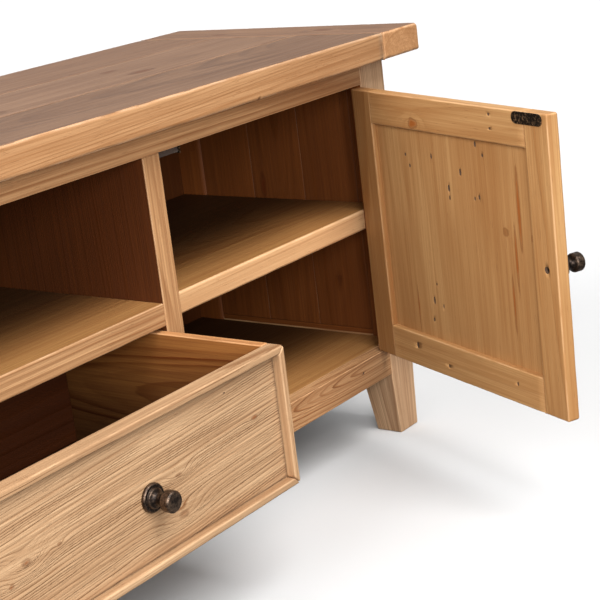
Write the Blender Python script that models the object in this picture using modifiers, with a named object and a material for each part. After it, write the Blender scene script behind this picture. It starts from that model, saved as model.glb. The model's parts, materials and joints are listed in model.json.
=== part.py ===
"""Pine media cabinet, modelled in metres with +Z up.

A long, low cabinet on four tapered legs.  The planked top has a cross board at each end.
A middle bay is open above its shelf and holds a drawer below it.  A cupboard with one shelf
and a framed door stands on each side.  The left door is shut, the right door stands open and
the drawer is pulled out.  Each moving group hangs from an empty on its joint's axis.
"""
import bmesh
import bpy
from math import cos, radians, sin

# ---------------------------------------------------------------- driving dimensions
WIDTH = 1.600
DEPTH = 0.450
HEIGHT = 0.600
TOP_THICKNESS = 0.038
OVERHANG = 0.040            # of the top, at the front and the ends; it is flush at the back
LEG = 0.058                 # square section
POST_THICKNESS = 0.0192     # of what the front rebate leaves of a front leg
BAY_WIDTH = 0.480           # clear width between the two dividers
DIVIDER = 0.030
FIT = 0.0003                # gap that touching pieces keep

# ---------------------------------------------------------------- open positions
DOOR_OPEN = radians(67.0)   # how far the right door stands open
DRAWER_OUT = 0.180          # how far the drawer is pulled out

# ---------------------------------------------------------------- carcass
END_BOARD = 0.091           # width of the cross board at each end of the top
TOP_BOARDS = ("front", "middle", "back")
TOP_RAIL_BOTTOM = 0.529
TOP_RAIL_DEPTH = 0.045
LOW_RAIL = (0.097, 0.139)   # bottom and top of the low front rail
LOW_RAIL_DEPTH = 0.022
TAPER_X = 0.009             # how much a foot loses on its inner faces
TAPER_Y = 0.015
TAPER_OUTER = 0.004
SIDE_WALL = 0.014           # thickness of the side rails
SIDE_PANEL = 0.008
SIDE_RAIL_HEIGHT = 0.050
BACK_PANEL = 0.008
FLOOR = (0.120, 0.138)      # bottom and top of the board under all three bays
BAY_SHELF = (0.320, 0.349)
CUPBOARD_SHELF = (0.3175, 0.3465)
CUPBOARD_SHELF_SETBACK = 0.0195
RUNNER_WIDTH = 0.020
ARRIS = 0.0015              # rounding of the edges of sawn boards
TOP_ARRIS = 0.0035

# ---------------------------------------------------------------- doors
DOOR_GAP = 0.002
DOOR_THICKNESS = 0.018
STILE = 0.045
LOW_DOOR_RAIL = 0.048
PANEL_SETBACK = 0.004       # of the panel behind the frame's outer face
PANEL = 0.006
GROOVE_DEPTH = 0.010
KNOB_INSET = 0.020          # of the knob from the door's free edge
KNOB_R = 0.0123
KNOB_FACE = 0.0318          # where the knob's head is last at its full radius
SCREW_HOLE_R = 0.0026
COUNTERBORE_R = 0.0060
COUNTERBORE_DEPTH = 0.006
STRIKE = (0.057, 0.015, 0.0012)
STRIKE_FROM_EDGE = 0.037
STRIKE_FROM_TOP = 0.008

# ---------------------------------------------------------------- hinges
AXIS_PROUD = 0.0038         # of the hinge pin in front of the doors' outer face
KNUCKLE_R = 0.0034
PIN_R = 0.0015
PIN_BORE_R = 0.0019
LEAF = (0.0012, 0.0195, 0.050)
LEAF_POCKET = 0.0006
LEAF_CLEARANCE = 0.0001     # of each leaf from the plane through the pin
KNUCKLES = 5
HINGE_FROM_END = 0.070

# ---------------------------------------------------------------- drawer
DRAWER_Z = (0.142, 0.3145)
DRAWER_HALF = 0.2375
BEAD = 0.0093               # width of the bead's face
BEAD_PROUD = 0.0114
FRONT_PANEL = 0.012
DRAWER_SIDE = 0.012
DRAWER_LENGTH = 0.3675
DRAWER_FLOOR = (0.1445, 0.1500)
DRAWER_GROOVE = 0.005
KNOB_DROP = 0.0078          # of the drawer's knob below the middle of its front

# ---------------------------------------------------------------- derived places
TOP_UNDERSIDE = HEIGHT - TOP_THICKNESS
HALF = WIDTH / 2 - OVERHANG
LEG_INNER = HALF - LEG
WALL = HALF - SIDE_WALL
BAY = BAY_WIDTH / 2
CASE_DEPTH = DEPTH - OVERHANG
DOOR_Z = (LOW_RAIL[1] + DOOR_GAP, TOP_RAIL_BOTTOM - DOOR_GAP)
DOOR_WIDTH = LEG_INNER - (BAY + DIVIDER) - 2 * DOOR_GAP
AXIS_X = LEG_INNER - DOOR_GAP / 2
# The open door's knob is the front of the cabinet's box, and the origin is at the middle of
# that box on the floor.
DOOR_REACH = ((DOOR_GAP / 2 + DOOR_WIDTH - KNOB_INSET + KNOB_R) * sin(DOOR_OPEN)
              + (KNOB_FACE - AXIS_PROUD) * cos(DOOR_OPEN) + AXIS_PROUD)
FRONT = (DOOR_REACH - CASE_DEPTH) / 2
BACK = FRONT + CASE_DEPTH
BACK_WALL = BACK - 0.002 - BACK_PANEL

WOOD = {
    "pine_top": (0.36, 0.22, 0.13),
    "pine_frame": (0.50, 0.30, 0.14),
    "pine_inside": (0.40, 0.22, 0.10),
    "pine_door": (0.60, 0.38, 0.19),
    "pine_drawer": (0.52, 0.33, 0.17),
}
METAL = {
    "iron_dark": ((0.035, 0.028, 0.024), 0.42),
    "brass_aged": ((0.30, 0.20, 0.09), 0.38),
}
CATCH_COLOUR = (0.45, 0.38, 0.36)


def clear_scene():
    for item in list(bpy.data.objects):
        bpy.data.objects.remove(item, do_unlink=True)
    for group in list(bpy.data.collections):
        bpy.data.collections.remove(group)


def collection(name):
    group = bpy.data.collections.new(name)
    bpy.context.scene.collection.children.link(group)
    return group


def material(name, colour, roughness, metallic):
    made = bpy.data.materials.new(name)
    made.use_nodes = True
    shader = made.node_tree.nodes["Principled BSDF"]
    shader.inputs["Base Color"].default_value = (*colour, 1.0)
    shader.inputs["Roughness"].default_value = roughness
    shader.inputs["Metallic"].default_value = metallic
    return made


clear_scene()
PARTS = collection("media_cabinet")
CUTTERS = collection("cutters")
MATERIALS = {name: material(name, colour, 0.6, 0.0) for name, colour in WOOD.items()}
for metal_name, (metal_colour, metal_roughness) in METAL.items():
    MATERIALS[metal_name] = material(metal_name, metal_colour, metal_roughness, 1.0)
MATERIALS["catch_plastic"] = material("catch_plastic", CATCH_COLOUR, 0.5, 0.0)


# ---------------------------------------------------------------- building blocks
def add_object(name, mesh, finish=None, parent=None):
    """Links a mesh as a part, or as a cutter when it has no finish."""
    made = bpy.data.objects.new(name, mesh)
    if finish is None:
        CUTTERS.objects.link(made)
        made.hide_render = True
        made.display_type = "WIRE"
    else:
        PARTS.objects.link(made)
        mesh.materials.append(MATERIALS[finish])
    made.parent = parent
    return made


def box_mesh(name, spans):
    """A closed box for each (low corner, high corner), in one mesh."""
    mesh = bpy.data.meshes.new(name)
    shape = bmesh.new()
    for low, high in spans:
        cube = bmesh.ops.create_cube(shape, size=1.0)["verts"]
        for vert in cube:
            vert.co = [low[i] + (vert.co[i] + 0.5) * (high[i] - low[i]) for i in range(3)]
    shape.to_mesh(mesh)
    shape.free()
    return mesh


def sort_box(ends):
    """Low and high corners from three pairs of ends in any order."""
    return [min(pair) for pair in ends], [max(pair) for pair in ends]


def bevel(made, width, segments=2):
    edge = made.modifiers.new("arris", "BEVEL")
    edge.width = width
    edge.segments = segments
    edge.limit_method = "ANGLE"
    edge.angle_limit = radians(35)


def board(name, x, y, z, finish, arris=ARRIS, parent=None):
    """A sawn board between two ends on each axis, with its origin at its middle."""
    low, high = sort_box((x, y, z))
    middle = [(a + b) / 2 for a, b in zip(low, high)]
    span = ([a - m for a, m in zip(low, middle)], [b - m for b, m in zip(high, middle)])
    made = add_object(name, box_mesh(name, [span]), finish, parent)
    made.location = middle
    if arris:
        bevel(made, arris)
    return made


def cutter(name, boxes, parent=None):
    return add_object(name, box_mesh(name, [sort_box(ends) for ends in boxes]), None, parent)


def boolean(made, tool, operation="DIFFERENCE"):
    step = made.modifiers.new(tool.name, "BOOLEAN")
    step.operation = operation
    step.solver = "EXACT"
    step.object = tool


def turned(name, profile, finish=None, parent=None, steps=24):
    """A turned piece from (radius, height) points that run from its top to its bottom."""
    mesh = bpy.data.meshes.new(name)
    points = [(radius, 0.0, height) for radius, height in profile]
    mesh.from_pydata(points, [(i, i + 1) for i in range(len(points) - 1)], [])
    made = add_object(name, mesh, finish, parent)
    spin = made.modifiers.new("turn", "SCREW")
    spin.steps = steps
    spin.render_steps = steps
    spin.use_merge_vertices = True
    spin.merge_threshold = 0.00001
    spin.use_smooth_shade = True
    return made


def rod(name, radius, z, parent=None, steps=24):
    low, high = min(z), max(z)
    return turned(name, [(0, high), (radius, high), (radius, low), (0, low)], None, parent, steps)


# ---------------------------------------------------------------- top
def build_top():
    z = (TOP_UNDERSIDE, HEIGHT)
    y_front = FRONT - OVERHANG
    inner = WIDTH / 2 - END_BOARD
    pitch = DEPTH / len(TOP_BOARDS)
    for index, place in enumerate(TOP_BOARDS):
        y = (y_front + index * pitch + FIT / 2, y_front + (index + 1) * pitch - FIT / 2)
        if index == 0:
            y = (y_front, y[1])
        if index == len(TOP_BOARDS) - 1:
            y = (y[0], BACK)
        board(f"top_board_{place}", (-inner + FIT, inner - FIT), y, z, "pine_top")
    for side, word in ((-1, "left"), (1, "right")):
        board(f"top_end_{word}", (side * inner, side * WIDTH / 2), (y_front, BACK), z,
              "pine_top", TOP_ARRIS)


# ---------------------------------------------------------------- legs
def taper_foot(made, inward_x, inward_y):
    """Narrows the leg below the low rail; inward_x and inward_y point into the cabinet."""
    shape = bmesh.new()
    shape.from_mesh(made.data)
    start = LOW_RAIL[0] - made.location.z
    bmesh.ops.bisect_plane(shape, geom=shape.verts[:] + shape.edges[:] + shape.faces[:],
                           plane_co=(0, 0, start), plane_no=(0, 0, 1))
    for vert in shape.verts:
        if vert.co.z < start - FIT:
            on_inner_x = vert.co.x * inward_x > 0
            on_inner_y = vert.co.y * inward_y > 0
            vert.co.x += -inward_x * TAPER_X if on_inner_x else inward_x * TAPER_OUTER
            if on_inner_y:
                vert.co.y -= inward_y * TAPER_Y
    shape.to_mesh(made.data)
    shape.free()


def build_leg(side, word, at_back):
    name = f"leg_{'back' if at_back else 'front'}_{word}"
    y = (BACK - LEG, BACK) if at_back else (FRONT, FRONT + LEG)
    made = board(name, (side * LEG_INNER, side * HALF), y, (0, TOP_UNDERSIDE - FIT), "pine_frame")
    taper_foot(made, -side, -1 if at_back else 1)
    # Above the floor board each leg is rebated, so the cupboard's side wall runs from the
    # back corner to the back of a face as thin as a door frame.
    rebate_y = (y[0] - LEG, BACK + LEG) if at_back else (FRONT + POST_THICKNESS, y[1] + LEG)
    boolean(made, cutter(f"{name}_rebate", [
        ((side * (LEG_INNER - LEG), side * WALL), rebate_y, (FLOOR[0] - FIT, HEIGHT))]))
    if not at_back:
        pockets = cutter(f"{name}_pockets", [
            ((side * (LEG_INNER - LEG), side * (LEG_INNER + LEAF_POCKET)),
             (FRONT - LEG, FRONT - AXIS_PROUD + LEAF[1] + FIT),
             (z - LEAF[2] / 2 - FIT, z + LEAF[2] / 2 + FIT)) for z in hinge_heights()])
        boolean(made, pockets)


def hinge_heights():
    return DOOR_Z[0] + HINGE_FROM_END, DOOR_Z[1] - HINGE_FROM_END


# ---------------------------------------------------------------- carcass
def build_rails():
    reach = LEG_INNER - FIT
    board("front_top_rail", (-reach, reach), (FRONT, FRONT + TOP_RAIL_DEPTH),
          (TOP_RAIL_BOTTOM, TOP_UNDERSIDE - FIT), "pine_frame")
    board("front_low_rail", (-reach, reach), (FRONT, FRONT + LOW_RAIL_DEPTH), LOW_RAIL,
          "pine_frame")
    y = (FRONT + LEG + FIT, BACK - LEG - FIT)
    low = (LOW_RAIL[0], LOW_RAIL[0] + SIDE_RAIL_HEIGHT)
    high = (TOP_UNDERSIDE - SIDE_RAIL_HEIGHT, TOP_UNDERSIDE - FIT)
    for side, word in ((-1, "left"), (1, "right")):
        x = (side * WALL, side * HALF)
        board(f"side_top_rail_{word}", x, y, high, "pine_frame")
        board(f"side_low_rail_{word}", x, y, low, "pine_frame")
        board(f"side_panel_{word}", (side * WALL, side * (WALL + SIDE_PANEL)), y,
              (low[1] + FIT, high[0] - FIT), "pine_inside", 0.0008)
    board("back_panel", (-WALL + FIT, WALL - FIT), (BACK_WALL, BACK_WALL + BACK_PANEL),
          (FLOOR[0], TOP_UNDERSIDE - FIT), "pine_inside", 0.0008)


def build_boards():
    reach = WALL - FIT
    deep = BACK_WALL - FIT
    y = (FRONT + LOW_RAIL_DEPTH + FIT, deep)
    board("floor_board", (-reach, reach), y, FLOOR, "pine_inside")
    for side, word in ((-1, "left"), (1, "right")):
        divider = board(f"divider_{word}", (side * BAY, side * (BAY + DIVIDER)), (FRONT, deep),
                        (LOW_RAIL[1] + FIT, TOP_UNDERSIDE - FIT), "pine_frame")
        boolean(divider, cutter(f"divider_notch_{word}", [
            ((side * (BAY - DIVIDER), side * (BAY + 2 * DIVIDER)),
             (FRONT - LEG, FRONT + TOP_RAIL_DEPTH + FIT), (TOP_RAIL_BOTTOM - FIT, HEIGHT))]))
        y_shelf = (FRONT + CUPBOARD_SHELF_SETBACK, deep)
        board(f"cupboard_shelf_{word}", (side * (BAY + DIVIDER + FIT), side * reach), y_shelf,
              CUPBOARD_SHELF, "pine_inside", 0.003)
        board(f"drawer_runner_{word}", (side * (BAY - FIT), side * (BAY - RUNNER_WIDTH)),
              (FRONT + LOW_RAIL_DEPTH + FIT, deep), (FLOOR[1] + FIT, DRAWER_Z[0] - FIT),
              "pine_inside", 0.0004)
    board("bay_shelf", (-BAY + FIT, BAY - FIT), (FRONT, deep), BAY_SHELF, "pine_frame")


# ---------------------------------------------------------------- knob
def knob_profile(grip):
    """The outline of a drum knob with its rose, its screw and the screw's head.

    Heights are along the knob's own axis from the face that the rose sits on; grip is the
    thickness of wood between the rose and the screw's head.
    """
    stem_r, rose_r, screw_r, screw_head_r = 0.0052, 0.0166, 0.0021, 0.0043
    return [
        (0.0, 0.0340), (KNOB_R - 0.0022, 0.0340), (KNOB_R - 0.0006, 0.0333),
        (KNOB_R, KNOB_FACE), (KNOB_R, 0.0236), (KNOB_R - 0.0010, 0.0222),
        (stem_r + 0.0030, 0.0205), (stem_r + 0.0006, 0.0180), (stem_r, 0.0150),
        (stem_r + 0.0004, 0.0100), (stem_r + 0.0026, 0.0074), (0.0100, 0.0062),
        (0.0108, 0.0046), (rose_r - 0.0016, 0.0040), (rose_r, 0.0028), (rose_r, FIT),
        (screw_r, FIT), (screw_r, -grip - FIT), (screw_head_r, -grip - FIT),
        (screw_head_r, -grip - 0.0020), (screw_head_r - 0.0012, -grip - 0.0030),
        (0.0, -grip - 0.0030)]


def build_knob(name, grip, parent, place):
    """A knob whose axis points forwards, out of the closed door or the drawer front."""
    knob = turned(name, knob_profile(grip), "iron_dark", parent, 28)
    knob.rotation_euler = (radians(90), 0, 0)
    knob.location = place


def bore(name, radius, y, parent, place):
    """A round cutter along Y, between two distances from its place."""
    tool = rod(name, radius, (-y[0], -y[1]), parent)
    tool.rotation_euler = (radians(90), 0, 0)
    tool.location = place
    return tool


# ---------------------------------------------------------------- hinge
def knuckle_spans(first):
    """Heights of every second knuckle, from the first one given."""
    pitch = LEAF[2] / KNUCKLES
    spans = []
    for index in range(first, KNUCKLES, 2):
        low = -LEAF[2] / 2 + index * pitch
        spans.append((low + FIT / 2, low + pitch - FIT / 2))
    return spans


def leaf(name, side, parent, z, others):
    """A hinge leaf beside the pin, cut back around the other leaf's knuckles."""
    x = (side * LEAF_CLEARANCE, side * (LEAF_CLEARANCE + LEAF[0]))
    made = board(name, x, (0, LEAF[1]), (z - LEAF[2] / 2, z + LEAF[2] / 2), "brass_aged", 0, parent)
    slack = KNUCKLE_R + 0.0007
    notches = [((-slack, slack), (-slack, slack), (z + low - 2 * FIT, z + high + 2 * FIT))
               for low, high in others]
    boolean(made, cutter(f"{name}_notches", notches, parent))
    return made


def build_hinge(name, side, z, post, door):
    """post is an empty that stays with the leg, door is the one that turns."""
    fixed, moving = knuckle_spans(0), knuckle_spans(1)
    post_leaf = leaf(f"{name}_post_leaf", side, post, z, moving)
    profile = [(0.0, fixed[-1][1])]
    for low, high in reversed(fixed):
        profile += [(KNUCKLE_R, high), (KNUCKLE_R, low)]
        if low > fixed[0][0]:
            profile += [(PIN_R, low), (PIN_R, low - LEAF[2] / KNUCKLES - FIT)]
    profile.append((0.0, fixed[0][0]))
    pin = turned(f"{name}_pin", profile, None, post)
    pin.location.z = z
    boolean(post_leaf, pin, "UNION")
    door_leaf = leaf(f"{name}_door_leaf", -side, door, z, fixed)
    for index, (low, high) in enumerate(moving):
        boolean(door_leaf, rod(f"{name}_knuckle_{index}", KNUCKLE_R, (z + low, z + high), door),
                "UNION")
    boolean(door_leaf, rod(f"{name}_bore", PIN_BORE_R, (z - LEAF[2], z + LEAF[2]), door))


# ---------------------------------------------------------------- doors
def empty(name, place):
    made = bpy.data.objects.new(name, None)
    PARTS.objects.link(made)
    made.location = place
    return made


def build_door(side, word, angle):
    """A framed door on the given side; across counts from its hinged edge."""
    axis = (side * AXIS_X, FRONT - AXIS_PROUD, 0)
    post = empty(f"{word}_hinge_line", axis)
    door = empty(f"{word}_door_axis", axis)
    door.rotation_euler.z = side * angle
    outer = AXIS_PROUD
    inner = outer + DOOR_THICKNESS

    def x(across):
        return -side * (DOOR_GAP / 2 + across)

    groove = (outer + PANEL_SETBACK - FIT, outer + PANEL_SETBACK + PANEL + FIT)
    tenon = (groove[0] + FIT, groove[1] - FIT)
    z_low, z_high = DOOR_Z
    panel_z = (z_low + LOW_DOOR_RAIL, z_high - STILE)
    panel_x = (STILE, DOOR_WIDTH - STILE)

    def slot(name, across, z):
        return cutter(f"{word}_{name}", [((x(across[0]), x(across[1])), groove, z)], door)

    hinge_stile = board(f"{word}_door_hinge_stile", (x(0), x(STILE)), (outer, inner), DOOR_Z,
                        "pine_door", ARRIS, door)
    boolean(hinge_stile, slot("hinge_stile_groove", (STILE - GROOVE_DEPTH, STILE + LEG),
                              (z_low - LEG, z_high + LEG)))
    boolean(hinge_stile, cutter(f"{word}_stile_pockets", [
        ((x(-LEAF_POCKET * 4), x(LEAF_POCKET)), (-LEG, LEAF[1] + FIT),
         (z - LEAF[2] / 2 - FIT, z + LEAF[2] / 2 + FIT)) for z in hinge_heights()], door))
    free_stile = board(f"{word}_door_free_stile", (x(DOOR_WIDTH - STILE), x(DOOR_WIDTH)),
                       (outer, inner), DOOR_Z, "pine_door", ARRIS, door)
    boolean(free_stile, slot("free_stile_groove", (DOOR_WIDTH - STILE - LEG,
                                                   DOOR_WIDTH - STILE + GROOVE_DEPTH),
                             (z_low - LEG, z_high + LEG)))
    for name, z, edge in (("top_rail", (panel_z[1], z_high), panel_z[1]),
                          ("low_rail", (z_low, panel_z[0]), panel_z[0])):
        rail = board(f"{word}_door_{name}", (x(panel_x[0] + FIT), x(panel_x[1] - FIT)),
                     (outer, inner), z, "pine_door", ARRIS, door)
        tongue = cutter(f"{word}_{name}_tenon", [
            ((x(panel_x[0] - GROOVE_DEPTH + FIT), x(panel_x[1] + GROOVE_DEPTH - FIT)), tenon,
             (z[0] + 2 * ARRIS, z[1] - 2 * ARRIS))], door)
        boolean(rail, tongue, "UNION")
        inward = -1 if edge == panel_z[1] else 1
        boolean(rail, slot(f"{name}_groove", (-LEG, DOOR_WIDTH + LEG),
                           (edge + inward * LEG, edge - inward * GROOVE_DEPTH)))
    lap = GROOVE_DEPTH - 2 * FIT
    board(f"{word}_door_panel", (x(panel_x[0] - lap), x(panel_x[1] + lap)), tenon,
          (panel_z[0] - lap, panel_z[1] + lap), "pine_door", 0.0008, door)
    middle = (z_low + z_high) / 2
    grip = DOOR_THICKNESS - COUNTERBORE_DEPTH
    place = (x(DOOR_WIDTH - KNOB_INSET), outer, middle)
    boolean(free_stile, bore(f"{word}_screw_hole", SCREW_HOLE_R, (-LEG, LEG), door, place))
    boolean(free_stile, bore(f"{word}_counterbore", COUNTERBORE_R, (grip, LEG), door, place))
    build_knob(f"{word}_door_knob", grip, door, place)
    strike_x = DOOR_WIDTH - STRIKE_FROM_EDGE
    strike = board(f"{word}_door_strike", (x(strike_x - STRIKE[0] / 2), x(strike_x + STRIKE[0] / 2)),
                   (inner + FIT, inner + FIT + STRIKE[2]),
                   (z_high - STRIKE_FROM_TOP - STRIKE[1] / 2, z_high - STRIKE_FROM_TOP + STRIKE[1] / 2),
                   "iron_dark", 0, door)
    round_plate(strike)
    for height, z in zip(("low", "high"), hinge_heights()):
        build_hinge(f"{word}_{height}_hinge", side, z, post, door)
    catch_x = side * (AXIS_X - DOOR_GAP / 2 - strike_x)
    board(f"{word}_catch", (catch_x - 0.0225, catch_x + 0.0225),
          (FRONT + DOOR_THICKNESS + 0.0026, FRONT + 0.0410),
          (TOP_RAIL_BOTTOM - 0.0145, TOP_RAIL_BOTTOM - FIT), "catch_plastic", 0.001)


def round_plate(plate):
    """Rounds the plate's four short edges into half circles."""
    ends = plate.modifiers.new("round_ends", "BEVEL")
    ends.limit_method = "WEIGHT"
    ends.width = STRIKE[1] / 2 - FIT
    ends.segments = 8
    weights = plate.data.attributes.new("bevel_weight_edge", "FLOAT", "EDGE")
    for edge in plate.data.edges:
        a, b = (plate.data.vertices[i].co for i in edge.vertices)
        weights.data[edge.index].value = 1.0 if abs(a.y - b.y) > FIT else 0.0


# ---------------------------------------------------------------- drawer
def build_drawer():
    drawer = empty("drawer_axis", (0, FRONT - DRAWER_OUT, 0))
    z_low, z_high = DRAWER_Z
    half = DRAWER_HALF
    back_of_front = BEAD_PROUD + FRONT_PANEL
    y_all = (0, back_of_front)
    corners = {"right": (half, 1), "left": (-half, -1)}
    miters = []
    for x_edge, sx in corners.values():
        for z_edge, sz in ((z_low, -1), (z_high, 1)):
            miters.append((x_edge, z_edge, sx, sz))
    for word, across in (("top", (z_high - BEAD, z_high)), ("low", (z_low, z_low + BEAD))):
        strip = board(f"drawer_bead_{word}", (-half, half), y_all, across, "pine_drawer", 0.0010,
                      drawer)
        outer = z_high if word == "top" else z_low
        for x_edge, z_edge, sx, sz in miters:
            if z_edge == outer:
                boolean(strip, miter_wedge(f"{word}_miter_{sx}", x_edge, z_edge, sx, sz, True,
                                           drawer))
    for word, (x_edge, sx) in corners.items():
        strip = board(f"drawer_bead_{word}", (x_edge, x_edge - sx * BEAD), y_all, DRAWER_Z,
                      "pine_drawer", 0.0010, drawer)
        for _, z_edge, own, sz in miters:
            if own == sx:
                boolean(strip, miter_wedge(f"{word}_miter_{sz}", x_edge, z_edge, sx, sz, False,
                                           drawer))
    inset = BEAD + FIT
    front = board("drawer_front", (-half + inset, half - inset), (BEAD_PROUD, back_of_front),
                  (z_low + inset, z_high - inset), "pine_drawer", 0.0008, drawer)
    knob_place = (0, BEAD_PROUD, (z_low + z_high) / 2 - KNOB_DROP)
    boolean(front, bore("drawer_screw_hole", SCREW_HOLE_R, (-LEG, LEG), drawer, knob_place))
    build_knob("drawer_knob", FRONT_PANEL, drawer, knob_place)
    y_side = (back_of_front + FIT, DRAWER_LENGTH)
    inner = half - DRAWER_SIDE
    for side, word in ((-1, "left"), (1, "right")):
        plank = board(f"drawer_side_{word}", (side * half, side * inner), y_side, DRAWER_Z,
                      "pine_drawer", 0.0010, drawer)
        boolean(plank, cutter(f"drawer_groove_{word}", [
            ((side * (inner - LEG), side * (inner + DRAWER_GROOVE)),
             (y_side[0] - LEG, y_side[1] - DRAWER_SIDE + DRAWER_GROOVE),
             (DRAWER_FLOOR[0] - FIT, DRAWER_FLOOR[1] + FIT))], drawer))
    back = (DRAWER_LENGTH - DRAWER_SIDE, DRAWER_LENGTH - FIT)
    board("drawer_back", (-inner + FIT, inner - FIT), back, (DRAWER_FLOOR[1] + FIT, z_high),
          "pine_drawer", 0.0010, drawer)
    reach = inner + DRAWER_GROOVE - FIT
    board("drawer_floor", (-reach, reach), (y_side[0], y_side[1] - DRAWER_SIDE + DRAWER_GROOVE - FIT),
          DRAWER_FLOOR, "pine_drawer", 0.0006, drawer)


def miter_wedge(name, x_edge, z_edge, sx, sz, keep_flat, parent):
    """A three-sided cutter for one end of a bead.

    The bead's corner is at (x_edge, z_edge), and the cut runs at 45 degrees from there into
    the frame.  keep_flat is true for the top and low beads, which lie along X.
    """
    reach = 3 * BEAD
    slip = FIT / 2
    dx, dz = -sx * reach, -sz * reach
    near = (x_edge + sx * BEAD, z_edge + sz * BEAD)
    far = (x_edge + dx, z_edge + dz)
    if keep_flat:
        shift = (-sx * slip, sz * slip)
        third = (near[0], far[1])
    else:
        shift = (sx * slip, -sz * slip)
        third = (far[0], near[1])
    outline = [near, far, third]
    mesh = bpy.data.meshes.new(name)
    shape = bmesh.new()
    verts = [shape.verts.new((px + shift[0], -LEG, pz + shift[1])) for px, pz in outline]
    face = shape.faces.new(verts)
    grown = bmesh.ops.extrude_face_region(shape, geom=[face])["geom"]
    for item in grown:
        if isinstance(item, bmesh.types.BMVert):
            item.co.y = LEG
    bmesh.ops.recalc_face_normals(shape, faces=shape.faces[:])
    shape.to_mesh(mesh)
    shape.free()
    return add_object(name, mesh, None, parent)


# ---------------------------------------------------------------- the whole cabinet
build_top()
for leg_side, leg_word in ((-1, "left"), (1, "right")):
    build_leg(leg_side, leg_word, False)
    build_leg(leg_side, leg_word, True)
build_rails()
build_boards()
build_door(1, "right", DOOR_OPEN)
build_door(-1, "left", 0.0)
build_drawer()
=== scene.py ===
# %% [markdown]
# # A pine media cabinet
#
# A long, low cabinet stands on four tapered legs.  The planked top has a cross board at
# each end.  A middle bay is open above its shelf and holds a drawer below, and there is a
# cupboard on each side.  The left door is shut, the right door stands open and the drawer
# is pulled out.
#
# The working model, with its joints, is loaded first and is never moved.  Everything made
# here is a finished skin for it.  Each board is modelled as a piece of one tree: every
# point of it knows how far it lies along the trunk and which yearly ring it belongs to, so
# the figure on a face carries on correctly over the edges and round to the end grain.

# %% Load the working model
import json
import random
from math import cos, pi, radians, sin, tan

import bmesh
import bpy
import numpy as np
from mathutils import Matrix, Quaternion, Vector, noise


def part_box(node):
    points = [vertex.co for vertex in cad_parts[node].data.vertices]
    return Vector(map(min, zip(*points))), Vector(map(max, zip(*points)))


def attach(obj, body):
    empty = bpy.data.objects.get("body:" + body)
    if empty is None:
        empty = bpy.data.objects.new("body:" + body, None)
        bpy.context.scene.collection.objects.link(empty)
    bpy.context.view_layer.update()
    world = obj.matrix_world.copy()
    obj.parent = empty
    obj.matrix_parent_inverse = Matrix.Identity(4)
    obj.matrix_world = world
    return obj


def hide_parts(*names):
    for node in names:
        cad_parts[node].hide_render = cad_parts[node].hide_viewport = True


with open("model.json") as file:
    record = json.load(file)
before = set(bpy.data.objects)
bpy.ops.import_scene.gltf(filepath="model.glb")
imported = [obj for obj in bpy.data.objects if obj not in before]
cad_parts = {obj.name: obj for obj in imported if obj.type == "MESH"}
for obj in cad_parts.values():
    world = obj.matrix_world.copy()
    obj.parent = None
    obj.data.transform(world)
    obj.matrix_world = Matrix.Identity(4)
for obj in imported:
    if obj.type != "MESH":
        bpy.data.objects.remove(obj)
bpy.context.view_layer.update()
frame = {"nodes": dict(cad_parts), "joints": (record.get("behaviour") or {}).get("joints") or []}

# %% [markdown]
# ## The camera
#
# A long lens from a little over the cabinet's height looks along it from the left, so the
# far cupboard is seen past the drawer.  The camera is given by its place, its bearing, how
# far it looks down, and a slight roll.  A track rotation turns the camera to its subject
# first, and the roll is added about its own axis.

# %% Camera
LENS = 94.07
CAMERA_PLACE = Vector((-1.0966, -1.2709, 0.8618))
BEARING, LOOK_DOWN, ROLL = radians(-51.65), radians(16.11), radians(-7.0)

scene = bpy.context.scene
camera = bpy.data.objects.new("studio_camera", bpy.data.cameras.new("studio_camera"))
scene.collection.objects.link(camera)
scene.camera = camera
camera.data.lens = LENS
camera.location = CAMERA_PLACE
looking = Vector((-sin(BEARING) * cos(LOOK_DOWN), cos(BEARING) * cos(LOOK_DOWN),
                  -sin(LOOK_DOWN)))
camera.rotation_mode = "QUATERNION"
camera.rotation_quaternion = (looking.to_track_quat("-Z", "Y")
                              @ Quaternion((0, 0, 1), ROLL))
camera.data.clip_start, camera.data.clip_end = 0.05, 200.0
print("camera looks along", [round(part, 3) for part in looking])

# %% [markdown]
# ## A small kit for node trees
#
# Materials are trees of nodes, and a tree reads best when each line makes one node and
# plugs it in.  `add` makes a node and fills its inputs, from a socket or from a plain
# value.  `calc`, `fade`, `blend` and `cloud` are the four kinds that are used most: a sum,
# a soft step, a mix of two colours and a noise.

# %% Node helpers
def add(tree, kind, plugs=None, **settings):
    """Makes one node and fills its inputs from sockets or plain values."""
    made = tree.nodes.new("ShaderNode" + kind)
    for key, value in settings.items():
        setattr(made, key, value)
    for key, value in (plugs or {}).items():
        if isinstance(value, bpy.types.NodeSocket):
            tree.links.new(value, made.inputs[key])
        else:
            made.inputs[key].default_value = value
    return made


def calc(tree, operation, *values):
    return add(tree, "Math", dict(enumerate(values)), operation=operation).outputs[0]


def fade(tree, value, start, end):
    """A soft step from 0 at start to 1 at end, whichever of them is larger."""
    plugs = {"Value": value, "From Min": start, "From Max": end}
    return add(tree, "MapRange", plugs, interpolation_type="SMOOTHSTEP").outputs[0]


def blend(tree, share, first, second, mode="MIX"):
    """Mixes two colours: share 0 gives the first and 1 the second."""
    colours = [(*c, 1.0) if isinstance(c, tuple) and len(c) == 3 else c for c in (first, second)]
    plugs = {0: share, 6: colours[0], 7: colours[1]}
    return add(tree, "Mix", plugs, data_type="RGBA", blend_type=mode).outputs[2]


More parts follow.
